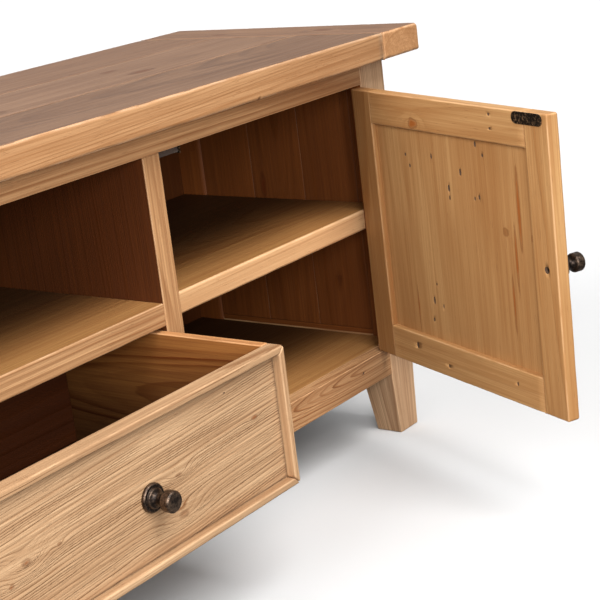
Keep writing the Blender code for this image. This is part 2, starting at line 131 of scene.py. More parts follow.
def cloud(tree, place, stretch, detail=2.0, roughness=0.5):
    """Noise whose features are 1 / stretch metres long on each axis."""
    scaled = add(tree, "VectorMath", {0: place, 1: stretch}, operation="MULTIPLY").outputs[0]
    plugs = {"Vector": scaled, "Scale": 1.0, "Detail": detail, "Roughness": roughness}
    return add(tree, "TexNoise", plugs).outputs[0]


def attribute(tree, name, output="Fac"):
    return add(tree, "Attribute", attribute_name=name).outputs[output]


def new_group(name, inputs, outputs):
    """An empty group with number inputs and outputs, and its two end nodes."""
    tree = bpy.data.node_groups.new(name, "ShaderNodeTree")
    for label, value in inputs:
        made = tree.interface.new_socket(name=label, in_out="INPUT",
                                         socket_type="NodeSocketFloat")
        made.default_value = value
    for label in outputs:
        tree.interface.new_socket(name=label, in_out="OUTPUT", socket_type="NodeSocketFloat")
    start = tree.nodes.new("NodeGroupInput")
    end = tree.nodes.new("NodeGroupOutput")
    return tree, start.outputs, end.inputs


def new_material(name):
    made = bpy.data.materials.new(name)
    made.use_nodes = True
    tree = made.node_tree
    return made, tree, tree.nodes["Principled BSDF"]


def use_group(tree, group, **values):
    made = tree.nodes.new("ShaderNodeGroup")
    made.node_tree = group
    for label, value in values.items():
        made.inputs[label.replace("_", " ")].default_value = value
    return made.outputs


# %% [markdown]
# ## Pine, as a group of nodes
#
# Pine shows three things at once.  Each year adds a wide pale band and a thin dark one
# that ends sharply.  Fine fibres run along the board everywhere, with short dark resin
# ducts between them.  Around a knot the rings swing aside and the wood turns red-brown.
#
# A Wave texture could draw stripes, but they wouldn't run over the edge of a board and
# come out as arcs on its end.  Here every board carries its own ring count in an
# attribute, `rings`, and the group only turns that count into bands.  It also reads
# `grain`, the place in the tree, for the fibres, and `knot`, the distance from the nearest
# knot counted in knot sizes.

# %% Grain group
RAGGED_STRETCH = (14.0, 170.0, 170.0)
FIBRE_STRETCH = (7.0, 520.0, 520.0)
STREAK_STRETCH = (2.6, 120.0, 120.0)
DUCT_STRETCH = (55.0, 900.0, 900.0)
CLOUD_STRETCH = (3.0, 11.0, 11.0)
GAP_STRETCH = (4.5, 34.0, 34.0)
KNOT_STRETCH = (90.0, 160.0, 160.0)


def build_grain_group():
    outputs = ["Late Wood", "Fibre", "Streak", "Duct", "Cloud", "Knot", "Knot Rim"]
    inputs = [("Raggedness", 0.25), ("Line Start", 0.30), ("Broken", 0.3)]
    tree, given, out = new_group("pine_grain", inputs, outputs)
    grain = attribute(tree, "grain", "Vector")
    ragged = calc(tree, "SUBTRACT", cloud(tree, grain, RAGGED_STRETCH, 3.0), 0.5)
    shift = calc(tree, "MULTIPLY", ragged, given["Raggedness"])
    count = calc(tree, "ADD", attribute(tree, "rings"), shift)
    year = calc(tree, "FLOOR", count)
    luck = add(tree, "TexWhiteNoise", {"W": year}, noise_dimensions="1D").outputs["Value"]
    within = calc(tree, "FRACT", count)
    rise = fade(tree, within, given["Line Start"], 0.90)
    drop = fade(tree, within, 1.0, 0.93)
    strength = calc(tree, "MULTIPLY_ADD", luck, 0.85, 0.15)
    late = calc(tree, "MULTIPLY", calc(tree, "MULTIPLY", rise, drop), strength)
    gap = fade(tree, cloud(tree, grain, GAP_STRETCH, 2.0), 0.56, 0.42)
    late = calc(tree, "MULTIPLY", late, calc(tree, "MULTIPLY_ADD", calc(
        tree, "MULTIPLY", gap, given["Broken"]), -1.0, 1.0))
    tree.links.new(late, out["Late Wood"])
    fibre = cloud(tree, grain, FIBRE_STRETCH, 3.0, 0.6)
    tree.links.new(fade(tree, fibre, 0.32, 0.70), out["Fibre"])
    streak = cloud(tree, grain, STREAK_STRETCH, 2.0)
    tree.links.new(fade(tree, streak, 0.35, 0.72), out["Streak"])
    duct = cloud(tree, grain, DUCT_STRETCH, 1.0)
    tree.links.new(fade(tree, duct, 0.68, 0.78), out["Duct"])
    tree.links.new(fade(tree, cloud(tree, grain, CLOUD_STRETCH, 2.0), 0.3, 0.7), out["Cloud"])
    uneven = calc(tree, "MULTIPLY", calc(tree, "SUBTRACT", cloud(
        tree, grain, KNOT_STRETCH, 2.0), 0.5), 0.6)
    away = calc(tree, "ADD", attribute(tree, "knot"), uneven)
    tree.links.new(fade(tree, away, 1.05, 0.55), out["Knot"])
    rim = calc(tree, "MULTIPLY", fade(tree, away, 1.35, 1.0), fade(tree, away, 0.70, 1.0))
    tree.links.new(rim, out["Knot Rim"])
    return tree


GRAIN = build_grain_group()
print("grain group has", len(GRAIN.nodes), "nodes")

# %% [markdown]
# ## Wear
#
# Handling rounds the arrises of old pine and rubs them pale.  The boards store where their
# rounded edges are in `edge`, so the group only has to break that band up with noise.  Small
# scuffs come from a second noise.

# %% Wear group
PATCH_STRETCH = (22.0, 70.0, 70.0)
SCUFF_STRETCH = (60.0, 210.0, 210.0)


def build_wear_group():
    tree, given, out = new_group("pine_wear", [("Amount", 1.0)], ["Rubbed", "Scuff"])
    grain = attribute(tree, "grain", "Vector")
    patchy = fade(tree, cloud(tree, grain, PATCH_STRETCH, 3.0), 0.30, 0.62)
    rubbed = calc(tree, "MULTIPLY", attribute(tree, "edge"), patchy)
    tree.links.new(calc(tree, "MULTIPLY", rubbed, given["Amount"]), out["Rubbed"])
    scuff = fade(tree, cloud(tree, grain, SCUFF_STRETCH, 4.0, 0.7), 0.60, 0.75)
    tree.links.new(calc(tree, "MULTIPLY", scuff, given["Amount"]), out["Scuff"])
    return tree


WEAR = build_wear_group()

# %% [markdown]
# ## The pine finishes
#
# All the wood is the same reclaimed pine under one wax, but each part has aged in its own
# way: the top is greyer, the drawer front is brushed and dry, and the inside is plain.
# The finishes inside the cabinet are far darker than the frame's: that darkness is painted
# shade.
# One function makes them all.  It lays the dark bands over the pale wood, then the fibres,
# ducts and knots, and ends with each board's own tone.  The same masks drive the gloss
# and a shallow bump, because hard late wood stands proud and shines a little more.

# %% Pine material
def make_pine(name, pale, band, band_share=0.6, fibre_share=0.35, duct_share=0.45,
              gloss=0.50, bump=0.35, ragged=0.25, line_start=0.30, broken=0.3, wear=1.0,
              rubbed=(0.80, 0.56, 0.34), knot_share=0.75, cloud_share=0.30):
    made, tree, shader = new_material(name)
    grain = use_group(tree, GRAIN, Raggedness=ragged, Line_Start=line_start, Broken=broken)
    worn = use_group(tree, WEAR, Amount=wear)
    own = add(tree, "SeparateXYZ", {0: attribute(tree, "board", "Vector")}).outputs
    deep = tuple(part * share for part, share in zip(band, (0.62, 0.50, 0.42)))
    ruddy = tuple(part * share for part, share in zip(band, (1.05, 0.75, 0.50)))
    figure = calc(tree, "MULTIPLY", grain["Late Wood"], own[1])
    colour = blend(tree, calc(tree, "MULTIPLY", grain["Cloud"], cloud_share), pale, band)
    colour = blend(tree, calc(tree, "MULTIPLY", grain["Streak"], fibre_share), colour, band)
    colour = blend(tree, calc(tree, "MULTIPLY", figure, band_share), colour, band)
    fibre = calc(tree, "MULTIPLY", grain["Fibre"], fibre_share)
    colour = blend(tree, fibre, colour, band)
    colour = blend(tree, calc(tree, "MULTIPLY", grain["Duct"], duct_share), colour, deep)
    colour = blend(tree, calc(tree, "MULTIPLY", worn["Rubbed"], 0.55), colour, rubbed)
    colour = blend(tree, calc(tree, "MULTIPLY", grain["Knot"], knot_share), colour, ruddy)
    colour = blend(tree, calc(tree, "MULTIPLY", grain["Knot Rim"], 0.6 * knot_share),
                   colour, deep)
    warm = blend(tree, own[2], (1.0, 1.0, 1.0), (1.0, 0.80, 0.60))
    colour = blend(tree, 1.0, colour, warm, "MULTIPLY")
    toned = add(tree, "VectorMath", {0: colour, "Scale": own[0]}, operation="SCALE").outputs[0]
    tree.links.new(toned, shader.inputs["Base Color"])
    rough = calc(tree, "MULTIPLY_ADD", figure, -0.10, gloss)
    rough = calc(tree, "MULTIPLY_ADD", grain["Fibre"], 0.10, rough)
    rough = calc(tree, "MULTIPLY_ADD", worn["Scuff"], 0.12, rough)
    tree.links.new(rough, shader.inputs["Roughness"])
    height = calc(tree, "MULTIPLY_ADD", grain["Fibre"], -0.35, figure)
    height = calc(tree, "MULTIPLY_ADD", grain["Duct"], -0.8, height)
    height = calc(tree, "MULTIPLY_ADD", worn["Scuff"], -0.3, height)
    relief = add(tree, "Bump", {"Height": height, "Strength": bump, "Distance": 0.0006})
    tree.links.new(relief.outputs[0], shader.inputs["Normal"])
    shader.inputs["Specular IOR Level"].default_value = 0.35
    return made


FINISHES = {
    "pine_top": make_pine("pine_top", (0.300, 0.176, 0.106), (0.13, 0.062, 0.032), 0.6, 0.45,
                          gloss=0.42, rubbed=(0.50, 0.33, 0.21)),
    "pine_slab_edge": make_pine("pine_slab_edge", (0.62, 0.36, 0.180), (0.33, 0.145, 0.050),
                                0.6, 0.45, line_start=0.5, rubbed=(0.90, 0.66, 0.45)),
    "pine_frame": make_pine("pine_frame", (0.60, 0.36, 0.180), (0.24, 0.098, 0.034), 0.85,
                            0.5, line_start=0.5, bump=0.5),
    "pine_leg": make_pine("pine_leg", (0.70, 0.49, 0.310), (0.30, 0.140, 0.060), 0.85,
                          0.5, line_start=0.5, bump=0.5),
    # The next two finishes are painted shade: the pine made far darker and redder for the faces
    # inside the cabinet, where little light reaches.
    "pine_inside": make_pine("pine_inside", (0.12, 0.034, 0.007), (0.07, 0.018, 0.003), 0.55,
                             0.4, gloss=0.55, wear=0.4, rubbed=(0.08, 0.03, 0.01)),
    "pine_wall": make_pine("pine_wall", (0.25, 0.078, 0.016), (0.13, 0.034, 0.005), 0.65,
                           0.4, gloss=0.55, rubbed=(0.020, 0.007, 0.002)),
    "pine_shelf": make_pine("pine_shelf", (0.47, 0.255, 0.090), (0.24, 0.090, 0.024), 0.6,
                            0.35, gloss=0.50, rubbed=(0.75, 0.50, 0.28)),
    "pine_shelf_edge": make_pine("pine_shelf_edge", (0.74, 0.48, 0.26), (0.42, 0.20, 0.08),
                                 0.6, 0.3, line_start=0.4, rubbed=(0.95, 0.70, 0.45)),
    "pine_drawer_box": make_pine("pine_drawer_box", (0.40, 0.195, 0.058), (0.15, 0.042, 0.008),
                                 0.75, 0.3, gloss=0.55, rubbed=(0.66, 0.42, 0.20)),
    "pine_door": make_pine("pine_door", (0.64, 0.390, 0.172), (0.36, 0.155, 0.046), 0.65, 0.4,
                           gloss=0.48, bump=0.45, knot_share=0.95, cloud_share=0.5),
    "pine_drawer": make_pine("pine_drawer", (0.62, 0.41, 0.235), (0.25, 0.115, 0.045), 0.95,
                             0.40, gloss=0.62, bump=0.7, ragged=0.40, line_start=0.66,
                             broken=1.0, knot_share=0.8),
}
print("finishes:", ", ".join(FINISHES))

# %% [markdown]
# ## Iron, brass and the catch
#
# The knobs are cast iron with a brown-black patina.  It is rubbed through to brown metal
# on the rims, where fingers touch it.  The strike plates are the same iron, rougher.  The
# hinges are dull brass, and the catches are a dull dark plastic.

# %% Metal and plastic
def make_metal(name, dark, worn, roughness, wear=0.6, coarse=260.0, patches=0.35):
    made, tree, shader = new_material(name)
    place = add(tree, "TexCoord").outputs["Object"]
    mottle = cloud(tree, place, (coarse,) * 3, 4.0, 0.65)
    fine = cloud(tree, place, (coarse * 5,) * 3, 3.0, 0.6)
    rim = calc(tree, "MULTIPLY", attribute(tree, "edge"), fade(tree, mottle, 0.30, 0.60))
    share = calc(tree, "MULTIPLY_ADD", rim, wear, calc(tree, "MULTIPLY", fade(
        tree, mottle, 0.50, 0.66), patches))
    tree.links.new(blend(tree, share, dark, worn), shader.inputs["Base Color"])
    tree.links.new(calc(tree, "MULTIPLY_ADD", fine, 0.22, roughness),
                   shader.inputs["Roughness"])
    height = calc(tree, "MULTIPLY_ADD", fine, 0.4, mottle)
    relief = add(tree, "Bump", {"Height": height, "Strength": 0.5, "Distance": 0.0004})
    tree.links.new(relief.outputs[0], shader.inputs["Normal"])
    shader.inputs["Metallic"].default_value = 0.85
    return made


FINISHES["iron_dark"] = make_metal("iron_dark", (0.018, 0.013, 0.011), (0.19, 0.125, 0.085), 0.27)
FINISHES["iron_plate"] = make_metal("iron_plate", (0.022, 0.016, 0.011), (0.40, 0.25, 0.14),
                                    0.50, coarse=300.0, patches=0.75)
FINISHES["brass_aged"] = make_metal("brass_aged", (0.30, 0.19, 0.08), (0.62, 0.43, 0.19), 0.28)
FINISHES["catch_plastic"] = make_metal("catch_plastic", (0.07, 0.055, 0.050), (0.24, 0.20, 0.18),
                                       0.35, coarse=120.0)
catch_shader = FINISHES["catch_plastic"].node_tree.nodes["Principled BSDF"]
catch_shader.inputs["Metallic"].default_value = 0.0

# %% [markdown]
# A hole in the wood is lined with a near-black, gritty finish, darker than any shadow on the wood
# around it.

# %% Lining of the holes
def make_hole_lining():
    made, tree, shader = new_material("hole_dirt")
    place = add(tree, "TexCoord").outputs["Object"]
    grit = cloud(tree, place, (900.0, 900.0, 900.0), 3.0)
    tree.links.new(blend(tree, grit, (0.035, 0.018, 0.010), (0.14, 0.075, 0.04)),
                   shader.inputs["Base Color"])
    tree.links.new(calc(tree, "MULTIPLY_ADD", grit, 0.2, 0.75), shader.inputs["Roughness"])
    return made


HOLE_LINING = make_hole_lining()

# %% [markdown]
# ## Sawing a plank
#
# Every wooden piece starts as a plank.  A cube with a Bevel modifier would look machined,
# so a plank is made as a grid of points over all six sides, close together near the
# edges.  The points near an edge are pulled onto a round arris, which noise then wears
# down unevenly along its length.
#
# The plank is also given its place in the tree.  `heart` says where the middle of the
# trunk runs, seen from the plank's own middle, and how it leans away along the plank.  A
# point's distance from the heart, divided by the width of one year, is its ring count.
# A heart just behind the face gives arches, and one far to the side gives straight lines.

# %% Grid over a plank
ARRIS = 0.0015
TIGHT = 0.0006          # arris of an edge that is glued to its neighbour
SUPPORT = 0.0010        # keeps the shading of a flat face flat beside its arris
BEND = 1 - tan(radians(22.5))
FIT = 0.0003            # gap between pieces that touch


def grid_lines(length, low_radii, high_radii, step):
    """Where the grid lines lie along one side of a plank."""
    marks = [0.0, length]
    for radius in low_radii:
        marks += [BEND * radius, radius, radius + SUPPORT]
    for radius in high_radii:
        marks += [length - BEND * radius, length - radius, length - radius - SUPPORT]
    start, stop = max(low_radii) + SUPPORT, length - max(high_radii) - SUPPORT
    marks += list(np.linspace(start, stop, max(1, round((stop - start) / step)) + 1))
    return np.unique(np.round(np.clip(marks, 0.0, length), 5))


def grid_shell(lines):
    """Points and outward faces on the outside of a box-shaped grid."""
    sizes = [len(line) for line in lines]
    places = np.stack(np.meshgrid(*lines, indexing="ij"), axis=-1)
    outside = np.ones(sizes, bool)
    outside[1:-1, 1:-1, 1:-1] = False
    number = np.full(sizes, -1)
    number[outside] = np.arange(outside.sum())
    faces = []
    for axis in range(3):
        for end in (0, -1):
            side = np.take(number, end, axis=axis)
            loop = [side[:-1, :-1], side[1:, :-1], side[1:, 1:], side[:-1, 1:]]
            if (end == 0) == (axis != 1):
                loop.reverse()
            faces.append(np.stack([corner.ravel() for corner in loop], axis=-1))
    return places[outside], np.concatenate(faces)


def noise_at(*parts):
    """Blender's noise, from -1 to 1, at many places at once."""
    return np.array([noise.noise(Vector(spot)) for spot in zip(*parts)])


# %% Rings of a plank
KNOT_LENGTH = 1.4       # of a knot along the grain, for a width of 1


def ring_count(along, across, deep, heart, year, knots, drift):
    """Ring count and distance from the nearest knot, in knot sizes, of each point."""
    out = (across - heart[0] - heart[2] * along, deep - heart[1] - heart[3] * along)
    reach = np.hypot(*out)
    reach += 0.0045 * noise_at(2.3 * along + drift, 10 * across, 10 * deep)
    reach += 0.0011 * noise_at(9 * along + drift, 45 * across, 45 * deep)
    near = np.full(len(along), 9.0)
    for knot_along, knot_across, size, core, length in knots:
        off = np.stack([(along - knot_along) / size, (across - knot_across) / size])
        reach += 1.5 * size * np.exp(-(off[0] / (2.2 * length)) ** 2 - (off[1] / 1.5) ** 2)
        near = np.minimum(near, np.hypot(off[0] / length, off[1]) + 0.7 * (1 - core))
    count = reach / year
    return count + 0.55 * np.sin(0.9 * count + drift) + drift, near


# %% One plank
def plank(low, high, grain_axis, seed, ease=ARRIS, tight="", step=(0.014, 0.006), heart=None,
          year=None, knots=(), brushed=0.0, tone=1.0, figure=1.0, warm=0.3, shape=None):
    """A plank between two corners.

    Knots are (place along, place across, size) and, where they differ from a plain round
    knot, how dark the core is and how long the knot is for its width.
    """
    dice = random.Random(seed)
    low, high = np.array(low, float), np.array(high, float)
    size = high - low
    long_axis = "xyz".index(grain_axis)
    wide, thin = sorted((a for a in range(3) if a != long_axis), key=lambda a: -size[a])
    eases = np.full((3, 2), ease)
    for mark in tight.split():
        eases["xyz".index(mark[1]), int(mark[0] == "+")] = TIGHT
    lines = []
    for axis in range(3):
        radii = [{min(own, other) for other in eases.ravel()} for own in eases[axis]]
        lines.append(grid_lines(size[axis], *radii, step[0] if axis == long_axis else step[1]))
    points, faces = grid_shell(lines)
    upper = size - points < points
    depth = np.where(upper, size - points, points)
    side = np.where(upper, 1.0, -1.0)
    radius = np.where(upper, eases[:, 1], eases[:, 0])
    corner = np.where(depth < radius, radius, 1.0).min(axis=1)[:, None]
    pull = np.clip(corner - depth, 0.0, None)
    span = np.linalg.norm(pull, axis=1)[:, None]
    normal = side * pull / span
    points = points - side * pull + normal * corner
    edge = np.clip((1 - pull.max(axis=1) / span[:, 0]) / (1 - cos(pi / 4)), 0.0, 1.0)
    edge *= corner[:, 0] > TIGHT + 1e-6

    if heart is None:
        heart = (dice.uniform(-0.4, 0.4) * size[wide], -dice.uniform(0.03, 0.10),
                 dice.uniform(-0.03, 0.03), dice.uniform(-0.06, 0.06))
    year = year or dice.uniform(0.0032, 0.0052)
    centre = (low + high) / 2
    own_knots = [(a - centre[long_axis], b - centre[wide], *(*rest, 1.0, KNOT_LENGTH)[:3])
                 for a, b, *rest in knots]
    drift = dice.uniform(0, 90)
    start = np.array([dice.uniform(-3, 3) for _ in range(3)])

    def grow(spots):
        """Ring count, nearness of a knot and place in the tree, anywhere in the plank."""
        place = (spots - centre)[:, [long_axis, wide, thin]]
        rings, near = ring_count(*place.T, heart, year, own_knots, drift)
        return {"rings": rings, "knot": near, "grain": place + start}

    tree = grow(points + low)
    rings, (along, across, deep) = tree["rings"], (tree["grain"] - start).T
    worn = noise_at(28 * along, 90 * across, 90 * deep)
    inward = edge * 0.45 * ease * np.clip(worn + 0.15, 0.0, 1.0)
    if brushed:
        within = rings - np.floor(rings)
        groove = np.exp(-((within - 0.86) / 0.13) ** 2)
        fibres = noise_at(9 * along, 420 * across, 420 * deep)
        inward += brushed * (1 - edge) * (0.75 * groove + 0.35 * np.clip(fibres, 0.0, 1.0))
    points = points + low - normal * inward[:, None]
    if shape:
        points = shape(points)
    own = (tone * dice.uniform(0.93, 1.07), figure, warm * dice.uniform(0.6, 1.4))
    return {"points": points, "faces": faces, "edge": edge, **tree, "grow": grow,
            "board": np.tile(own, (len(points), 1))}


# %% [markdown]
# ## From planks to a piece
#
# A piece is one or more planks joined into one mesh, with the ring counts stored on its
# points.  It then rides on its body and stands for its part of the working model.

# %% From planks to a piece
LIKE_IN_MESH = {"rings": ("FLOAT", "value"), "knot": ("FLOAT", "value"),
                "edge": ("FLOAT", "value"), "grain": ("FLOAT_VECTOR", "vector"),
                "board": ("FLOAT_VECTOR", "vector")}


def plank_object(name, planks, finish):
    """Joins planks into one mesh object that carries their ring counts."""
    starts = np.cumsum([0] + [len(p["points"]) for p in planks[:-1]])
    points = np.concatenate([p["points"] for p in planks])
    faces = np.concatenate([p["faces"] + s for p, s in zip(planks, starts)])
    mesh = bpy.data.meshes.new(name)
    mesh.from_pydata(points.tolist(), [], faces.tolist())
    for key, (kind, field) in LIKE_IN_MESH.items():
        values = np.concatenate([p[key] for p in planks]).astype(np.float32)
        mesh.attributes.new(key, kind, "POINT").data.foreach_set(field, values.ravel())
    mesh.materials.append(FINISHES[finish])
    made = bpy.data.objects.new(name, mesh)
    scene.collection.objects.link(made)
    return made


def make_piece(name, planks, finish, body, nodes, cutters=(), place=None,
               inside=None):
    """A wooden piece from its planks, cut to shape and hung on its body."""
    made = plank_object(name, planks, finish)
    for tool in cutters:
        cut(made, tool)
    if cutters:
        regrow(made.data, planks[0])
    if inside:
        paint_inside_shade(made.data, inside)
    made.data.shade_smooth()
    return settle(made, body, nodes, place)


def settle(piece, body, nodes, place=None):
    """Puts a finished piece on its body in place of the working model's nodes."""
    if place is not None:
        piece.data.transform(place)
    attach(piece, body)
    if nodes:
        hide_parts(*nodes)
    return piece


# %% [markdown]
# ## Rebates and holes
#
# Rebates and small holes are cut with a Boolean modifier, which is exact and leaves the
# rest of the grid alone.  The points that a cut makes know nothing of the tree, so they
# are found by their missing tone and given their ring count afterwards.

# %% Cutting
def cut(piece, tool):
    """Takes tool's shape out of piece, and lines the cut with tool's material."""
    step = piece.modifiers.new("cut", "BOOLEAN")
    step.object = tool
    step.operation = "DIFFERENCE"
    step.solver = "EXACT"
    step.material_mode = "TRANSFER"
    graph = bpy.context.evaluated_depsgraph_get()
    mesh = bpy.data.meshes.new_from_object(piece.evaluated_get(graph),
                                           preserve_all_data_layers=True, depsgraph=graph)
    piece.modifiers.clear()
    piece.data = mesh
    bpy.data.objects.remove(tool)


def box_tool(low, high, finish):
    """A cutter for a rebate: a plank of air, with no tone, so regrow can tell its points."""
    air = plank(low, high, "z", "rebate", TIGHT, step=(0.05, 0.012), tone=0.0)
    return plank_object("tool", [air], finish)


def hole_tool(holes, facing):
    """Round holes with sloping walls: (place, radius, length / width, depth)."""
    shape = bmesh.new()
    turn = Vector((0, 0, 1)).rotation_difference(Vector(facing)).to_matrix().to_4x4()
    for place, radius, stretch, depth in holes:
        size = Matrix.Diagonal((1.0, stretch, 1.0, 1.0))
        bmesh.ops.create_cone(shape, cap_ends=True, segments=10, radius1=0.55 * radius,
                              radius2=radius, depth=2 * depth,
                              matrix=Matrix.Translation(place) @ turn @ size)
    return tool_object(shape, HOLE_LINING)


def tool_object(shape, finish):
    mesh = bpy.data.meshes.new("tool")
    shape.to_mesh(mesh)
    shape.free()
    mesh.materials.append(finish)
    made = bpy.data.objects.new("tool", mesh)
    scene.collection.objects.link(made)
    return made


def regrow(mesh, sawn):
    """Gives the points that a cutter made their place in the tree."""
    board = np.empty(3 * len(mesh.vertices))
    mesh.attributes["board"].data.foreach_get("vector", board)
    board = board.reshape(-1, 3)
    spots = np.empty(3 * len(mesh.vertices))
    mesh.vertices.foreach_get("co", spots)
    new = board[:, 0] == 0.0
    board[new] = sawn["board"][0]
    fresh = dict(sawn["grow"](spots.reshape(-1, 3)[new]), board=board[new])
    for key, values in fresh.items():
        kind, field = LIKE_IN_MESH[key]
        kept = np.empty(len(mesh.vertices) * (3 if kind == "FLOAT_VECTOR" else 1))
        mesh.attributes[key].data.foreach_get(field, kept)
        kept = kept.reshape(len(mesh.vertices), -1)
        kept[new] = values.reshape(new.sum(), -1)
        mesh.attributes[key].data.foreach_set(field, kept.ravel())

# %% [markdown]
# ## A second finish on some faces
#
# Faces that look into the cabinet get a much darker finish, which is painted shade.  Front
# edges get a paler finish, partly rubbed wear and partly painted light.  Giving those faces
# another finish is simpler than a mask in the material, and it stays sharp at the edge of
# the board.

# %% Finishes by face
WALL_SLACK, OPENING_SLACK = 0.003, 0.002    # how near a face may lie and still be inside
FACING = 0.7                                # least sideways part of an inner face's normal


def refinish_front(mesh, finish, behind):
    """The front edge, up to the given place, gets another, paler finish, partly rubbed wear and
    partly painted light.
    """
    mesh.materials.append(FINISHES[finish])
    for face in mesh.polygons:
        if face.center.y < behind:
            face.material_index = len(mesh.materials) - 1


def paint_inside_shade(mesh, finish):
    """Faces that look into the cabinet get the darker finish of its inside, which is painted
    shade.
    """
    wall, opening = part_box("back_panel")[1].x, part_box("front_low_rail")[0].y
    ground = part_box("floor_board")[1].z
    mesh.materials.append(FINISHES[finish])
    inside = len(mesh.materials) - 1
    for face in mesh.polygons:
        x, y, z = face.center
        if (abs(x) < wall + OPENING_SLACK and y > opening + OPENING_SLACK and z > ground
                and (abs(face.normal.x) > FACING or abs(x) > wall - WALL_SLACK)):
            face.material_index = inside

# %% [markdown]
# ## Places on a board
#
# Knots and nails are told the way a joiner would tell them: how far along the board and
# how far across it, as shares of its size.  The board's own box turns that into a place.

# %% Places on a board
def placed(marks, low, high, along, across):
    """Marks given by shares of a board's length and width, as places on it."""
    size = high - low
    return [(low[along] + a * size[along], low[across] + b * size[across], *rest)
            for a, b, *rest in marks]


# %% [markdown]
# ## The top
#
# Three boards lie side by side, and a cross board at each end hides their end grain.  The
# outer edges are well rounded by use, but the joints between the boards are only fine
# lines, so those edges are kept tight.

# %% Top boards
TOP_EASE = 0.0040
TOP_JOINTS = {"front": "+y -x +x", "middle": "-y +y -x +x", "back": "-y -x +x"}
TOP_KNOTS = {
    "front": [(0.2, 0.5, 0.010)],
    "middle": [(0.6, 0.2, 0.010, 1.0, 2.2), (0.8, 0.3, 0.009, 1.0, 2.4),
               (0.8, 0.7, 0.007, 0.9, 2.0), (0.3, 0.6, 0.009)],
    "back": [(0.7, 0.7, 0.010), (0.1, 0.5, 0.008)],
}
NAIL_ALONG, NAIL_UP = 0.8, 0.002    # share of the slab's length, height above its underside
TOP_HEARTS = {"front": (0.02, -0.16, 0.02, 0.05), "middle": (-0.03, -0.07, 0.03, -0.03),
              "back": (0.05, -0.09, -0.02, 0.04)}
for spot, joints in TOP_JOINTS.items():
    node = f"top_board_{spot}"
    low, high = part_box(node)
    knots = placed(TOP_KNOTS[spot], low, high, 0, 1)
    sawn = plank(low, high, "x", node, TOP_EASE, joints, (0.012, 0.0045), TOP_HEARTS[spot],
                 0.0046, knots, brushed=0.0002)
    nail_place = Vector((low.x + NAIL_ALONG * (high.x - low.x), low.y, low.z + NAIL_UP))
    nail = hole_tool([(nail_place, 0.0020, 1.6, 0.004)], (0, -1, 0))
    made = make_piece(f"{node}_wood", [sawn], "pine_top", "carcass", [node],
                      cutters=[nail])
    if spot == "front":
        refinish_front(made.data, "pine_slab_edge", low.y + 0.6 * TOP_EASE)

END_KNOTS = {"left": [(0.7, 0.3, 0.009)],
             "right": [(0.3, 0.5, 0.008, 1.0, 1.8), (0.7, 0.3, 0.007, 0.9, 1.8)]}
for side, joint in (("left", "+x"), ("right", "-x")):
    node = f"top_end_{side}"
    low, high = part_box(node)
    sawn = plank(low, high, "y", node, TOP_EASE, joint, (0.008, 0.003),
                 (0.01, -0.05, 0.0, 0.05), 0.0040,
                 placed(END_KNOTS[side], low, high, 1, 0))
    made = make_piece(f"{node}_wood", [sawn], "pine_top", "carcass", [node])
    refinish_front(made.data, "pine_slab_edge", low.y + 0.6 * TOP_EASE)
print("top is", round(2 * high.x, 3), "m long")

# %% [markdown]
# ## Legs
#
# A leg is one square post, and its foot tapers below the low rail, most on the inner
# faces.  The plank maker takes a `shape` function, which moves the finished points, so
# the grain follows the post and is cut across by the taper as it is on the real foot.

# %% Legs
FOOT_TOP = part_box("front_low_rail")[0].z
FOOT_INNER_X, FOOT_OUTER_X, FOOT_INNER_Y = 0.009, 0.004, 0.015


def foot_taper(low, high, inward_x, inward_y):
    """A shape function that narrows a post towards the floor."""
    def taper(points):
        moved = points.copy()
        share = np.clip((FOOT_TOP - points[:, 2]) / FOOT_TOP, 0.0, 1.0)
        part_x = (points[:, 0] - low[0]) / (high[0] - low[0])
        part_y = (points[:, 1] - low[1]) / (high[1] - low[1])
        inner_x = part_x if inward_x > 0 else 1 - part_x
        inner_y = part_y if inward_y > 0 else 1 - part_y
        moved[:, 0] += inward_x * share * ((1 - inner_x) * FOOT_OUTER_X
                                           - inner_x * FOOT_INNER_X)
        moved[:, 1] -= inward_y * share * inner_y * FOOT_INNER_Y
        return moved
    return taper


back_wall, floor_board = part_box("back_panel"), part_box("floor_board")
shelf_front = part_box("cupboard_shelf_left")[0].y
REACH = 0.1             # how far a cutter sticks out of what it cuts
for side, inward in (("left", 1), ("right", -1)):
    wall = back_wall[0].x - FIT if side == "left" else back_wall[1].x + FIT
    for row, depth in (("front", 1), ("back", -1)):
        node = f"leg_{row}_{side}"
        low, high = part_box(node)
        ends = sorted((wall, wall + inward * REACH))
        near = shelf_front - FIT if row == "front" else low.y - REACH
        rebate = box_tool((ends[0], near, floor_board[0].z - FIT),
                          (ends[1], high.y + REACH, high.z + REACH), "pine_frame")
        post = plank(low, high, "z", node, 0.0020, "+z", (0.014, 0.004),
                     (0.012 * inward, -0.045, 0.01, 0.02), 0.0042, tone=1.25,
                     shape=foot_taper(low, high, inward, depth))
        make_piece(f"{node}_wood", [post], "pine_leg", "carcass", [node],
                   [rebate], inside="pine_wall")
print("feet taper below", round(FOOT_TOP, 3), "m")

# %% [markdown]
# ## Rails
#
# The top rail is sawn on the quarter, so its face shows straight stripes.  The low rail
# is a flat-sawn piece with tall arches.  Both are lightly brushed: the soft early wood is
# scratched away, and here that relief is real, in the mesh.

# %% Rails
RAIL_STEP = (0.010, 0.0012)
low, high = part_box("front_top_rail")
top_rail = plank(low, high, "x", "top rail", 0.0012, "-x +x +z", RAIL_STEP,
                 (0.0, -0.22, 0.0, 0.006), 0.0048, brushed=0.0005, figure=1.9, tone=1.15)
make_piece("front_top_rail_wood", [top_rail], "pine_frame", "carcass", ["front_top_rail"])

